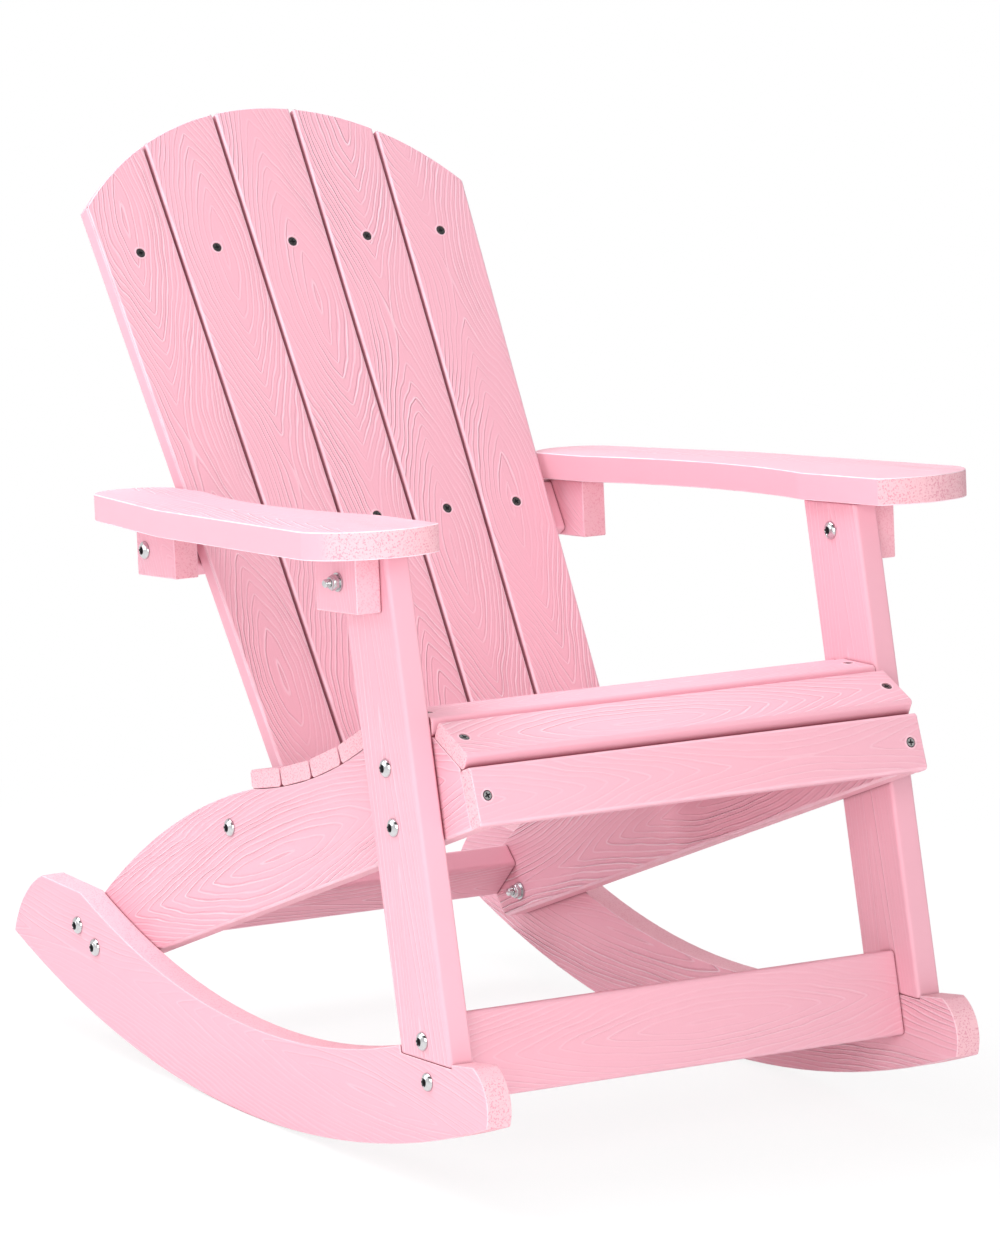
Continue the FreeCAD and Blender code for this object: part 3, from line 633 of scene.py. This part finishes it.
def add_rim(shape, place, axis):
    """The low ring of raised plastic round a screw head."""
    profile = [(screw_brink_radius, 0.0), (screw_brink_radius + rim_slope, 0.8), (rim_radius, 1.0),
               (rim_radius + rim_slope, 0.6), (rim_radius + 2 * rim_slope, 0.0)]
    start = set(shape.verts)
    verts = [shape.verts.new((r, 0.0, h * rim_height)) for r, h in profile]
    edges = [shape.edges.new(pair) for pair in zip(verts, verts[1:] + verts[:1])]
    bmesh.ops.spin(shape, geom=verts + edges, cent=(0, 0, 0), axis=(0, 0, 1), dvec=(0, 0, 0),
                   angle=2 * math.pi, steps=round_sides, use_merge=True)
    made = turned_outwards(shape, [vert for vert in shape.verts if vert not in start])
    bmesh.ops.transform(shape, matrix=turned_to(place, axis), verts=made)


def place_ring(verts, radius, height, corners):
    """Lays a loop of vertices on a circle, or on a polygon whose corners reach the radius."""
    for vert in verts:
        turn = math.atan2(vert.co.y, vert.co.x)
        reach = radius
        if corners:
            half = math.pi / corners
            reach = radius * math.cos(half) / math.cos(turn % (2 * half) - half)
        vert.co = Vector((reach * math.cos(turn), reach * math.sin(turn), height))


def turned_shape(shape, rings, closed=False):
    """A turned solid from rings of (radius, height, corners), drawn upright at the origin."""
    loop = bmesh.ops.create_circle(shape, cap_ends=not closed, segments=round_sides, radius=1.0)["verts"]
    made = list(loop)
    place_ring(loop, *rings[0])
    for ring in rings[1:]:
        below = set(loop)
        edges = [edge for edge in shape.edges if below.issuperset(edge.verts)]
        loop = new_corners(bmesh.ops.extrude_edge_only(shape, edges=edges))
        place_ring(loop, *ring)
        made += loop
    if not closed:
        bmesh.ops.edgeloop_fill(shape, edges=rim_edges(shape, loop))
    return turned_outwards(shape, made)


def add_bolt(shape, place, axis, reach):
    """A button-headed bolt with a hexagon socket and a chamfered tip."""
    dome = bolt_head_height - bolt_head_edge
    rings = [(bolt_tip_taper * bolt_radius, -reach, 0), (bolt_radius, -reach + bolt_tip_chamfer, 0),
             (bolt_radius, 0.0, 0), (bolt_head_radius - bolt_head_edge, 0.0, 0),
             (bolt_head_radius, bolt_head_edge, 0)]
    rings += [(bolt_head_radius * math.cos(t), bolt_head_edge + dome * math.sin(t), 0)
              for t in bolt_dome_turns]
    rings += [(bolt_socket_radius + bolt_socket_lip, bolt_head_height - bolt_socket_lip, 0),
              (bolt_socket_radius, bolt_head_height - bolt_socket_drop, 6),
              (bolt_socket_taper * bolt_socket_radius, bolt_socket_floor, 6)]
    made = turned_shape(shape, rings)
    # The socket takes the painted shade
    for face in touching_faces(shape, made):
        middle = face.calc_center_median()
        if middle.z > 0.0 and math.hypot(middle.x, middle.y) < 0.98 * bolt_socket_radius:
            face.material_index = 1
    bmesh.ops.transform(shape, matrix=turned_to(place, axis), verts=made)


def add_nut(shape, place, axis):
    """A lock nut: hexagon with a turned collar, bored for the bolt."""
    bore = bolt_radius + nut_bore_play
    outside = [(share * nut_corner, height, sides) for share, height, sides in nut_outside]
    rings = [(bore, 0.0, 0), *outside, (bore, nut_height, 0), (bore, 0.0, 0)]
    made = turned_shape(shape, rings, closed=True)
    bmesh.ops.transform(shape, matrix=turned_to(place, axis), verts=made)


def driven_screws(name, steel, dark, pale):
    """A node's screws, each turned its own way, and the lumber's raised ring round each head."""
    heads, rims = bmesh.new(), bmesh.new()
    rng = np.random.default_rng(len(name))
    for place, axis, _ in fastener_places(name):
        add_screw(heads, place, axis, rng.uniform(0, math.pi / 2))
        add_rim(rims, place, axis)
    piece = add_piece(f"{name}_driven", heads, steel)
    piece.data.materials.append(dark)
    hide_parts(name)
    ring = add_piece(f"{name}_rims", rims, pale)
    smooth_by_angle(ring, rim_crisp_angle)


def tightened_bolts(name, steel, dark):
    """A node's bolts, with painted shade in their sockets."""
    shape = bmesh.new()
    for place, axis, reach in fastener_places(name):
        add_bolt(shape, place, axis, reach)
    piece = add_piece(f"{name}_tightened", shape, steel)
    piece.data.materials.append(dark)
    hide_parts(name)
    smooth_by_angle(piece, steel_crisp_angle)


def tightened_nuts(name, steel):
    """A node's lock nuts."""
    shape = bmesh.new()
    for place, axis in nut_places(name):
        add_nut(shape, place, axis)
    piece = add_piece(f"{name}_tightened", shape, steel)
    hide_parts(name)
    smooth_by_angle(piece, steel_crisp_angle)


def finish_of(name):
    """The finish of the kind of plank that a node's name starts with."""
    return next(finish for kind, finish in finishes.items() if name.startswith(kind))


def dress_nodes():
    """Dresses every node: planks eased and grained, fasteners made again in more detail."""
    grain, sawn, edge_highlights = grain_group(), sawn_group(), edge_highlight_group()
    bolts = metal_material("polished_bolt", bolt_grey, bolt_dull, roughness=0.06, threads=1.0)
    nuts = metal_material("plated_nut", nut_grey, nut_dull, roughness=0.16, threads=0.0)
    screws = metal_material("plated_screw", screw_grey, screw_dull, roughness=0.18, threads=0.0)
    # Painted shade for screw recesses and bolt sockets
    dark = plain_material("painted_recess_shade", painted_socket_shade, painted_socket_shade_grit, roughness=0.6)
    rims = plain_material("screw_rim_pink", pink, pink_pale, roughness=0.4)
    slots = {entry["node"]: entry["material_slot"] for entry in frame["record"]["subparts"]}
    for index, name in enumerate(sorted(nodes)):
        if slots[name] == "screw_steel":
            driven_screws(name, screws, dark, rims)
        elif slots[name] == "bolt_steel":
            tightened_bolts(name, bolts, dark)
        elif name == "lock_nuts":
            tightened_nuts(name, nuts)
        elif slots[name] == "nut_steel":
            nodes[name].data.materials.clear()
            nodes[name].data.materials.append(nuts)
        else:
            lumber = lumber_material(f"{name}_lumber", nodes[name], seed_step * index, finish_of(name),
                                     grain, sawn, edge_highlights)
            eased_plank(name, lumber, leg_ease if name.startswith("front_leg") else edge_ease)


def aim_at(place, target, roll=0.0):
    """A camera or lamp pose that looks from a place to a target."""
    back = (place - target).normalized()
    right = Vector((0, 0, 1)).cross(back).normalized()
    up = back.cross(right)
    turn = math.radians(roll)
    side = right * math.cos(turn) + up * math.sin(turn)
    head = up * math.cos(turn) - right * math.sin(turn)
    pose = Matrix((side, head, back)).transposed().to_4x4()
    pose.translation = place
    return pose


def direction(azimuth, elevation):
    """Unit vector towards a viewer at an azimuth from the front and an elevation."""
    a, e = math.radians(azimuth), math.radians(elevation)
    return Vector((math.sin(a) * math.cos(e), -math.cos(a) * math.cos(e), math.sin(e)))


def photo_camera():
    """The camera at the photograph's viewpoint."""
    data = bpy.data.cameras.new("photo_view")
    data.lens = view_lens
    data.sensor_width = sensor_width
    data.clip_end = 60.0
    camera = bpy.data.objects.new("photo_view", data)
    place = view_aim + direction(view_azimuth, view_elevation) * view_distance
    camera.matrix_world = aim_at(place, view_aim, view_roll)
    bpy.context.scene.collection.objects.link(camera)
    bpy.context.scene.camera = camera


def softbox(name, azimuth, elevation, distance, width, height, power, colour):
    """A rectangular lamp that faces the middle of the chair."""
    data = bpy.data.lights.new(name, "AREA")
    data.shape = "RECTANGLE"
    data.size = width
    data.size_y = height
    data.energy = power
    data.color = colour
    lamp = bpy.data.objects.new(name, data)
    lamp.matrix_world = aim_at(softbox_aim + direction(azimuth, elevation) * distance, softbox_aim)
    bpy.context.scene.collection.objects.link(lamp)


def seen_share(g):
    """1 for rays that see the surroundings straight or through glass, and nearly 1 for mirrored ones."""
    rays = g.add("ShaderNodeLightPath").outputs
    straight = g.math("MAXIMUM", rays["Is Camera Ray"], rays["Is Transmission Ray"])
    return g.math("MAXIMUM", straight, g.math("MULTIPLY", rays["Is Glossy Ray"], mirrored_share))


def white_surroundings():
    """White all round, softer where it only lights the chair, and darker overhead in mirrored rays."""
    world = bpy.data.worlds.new("studio_white")
    bpy.context.scene.world = world
    world.use_nodes = True
    world.node_tree.nodes.clear()
    g = Graph(world.node_tree)
    mirrored = g.add("ShaderNodeLightPath").outputs["Is Glossy Ray"]
    height = g.axes(g.add("ShaderNodeTexCoord").outputs["Generated"])[2]
    ceiling = g.math("MULTIPLY", mirrored, g.ramp(height, 0.45, 0.72, 0.0, ceiling_depth))
    level = g.math("MULTIPLY_ADD", seen_share(g), 1.0 - soft_level, soft_level)
    strength = g.math("SUBTRACT", level, ceiling)
    g.put_out(g.add("ShaderNodeBackground", {"Color": light_white, "Strength": strength}),
              "ShaderNodeOutputWorld")


def floor_plane():
    """A pale matte floor that glows white to the camera, a little less near the chair, for its shadow."""
    mesh = bpy.data.meshes.new("floor")
    shape = bmesh.new()
    bmesh.ops.create_grid(shape, x_segments=1, y_segments=1, size=floor_reach)
    shape.to_mesh(mesh)
    shape.free()
    floor = bpy.data.objects.new("floor", mesh)
    bpy.context.scene.collection.objects.link(floor)
    material, g = new_material("pale_floor")
    coords = g.add("ShaderNodeTexCoord").outputs["Object"]
    away = g.add("ShaderNodeVectorMath", {0: coords}, operation="LENGTH").outputs["Value"]
    share = g.math("MULTIPLY", seen_share(g), g.ramp(away, 0.45, 1.1, floor_glow_near, 1.0))
    matte = g.add("ShaderNodeBsdfDiffuse", {"Color": floor_white})
    glow = g.add("ShaderNodeEmission", {"Color": light_white, "Strength": 1.0})
    g.put_out(g.add("ShaderNodeMixShader", {0: share, 1: matte.outputs[0], 2: glow.outputs[0]}))
    mesh.materials.append(material)


dress_nodes()
photo_camera()
for name, settings in softboxes.items():
    softbox(name, *settings)
white_surroundings()
floor_plane()
bpy.context.scene.view_settings.view_transform = "Standard"
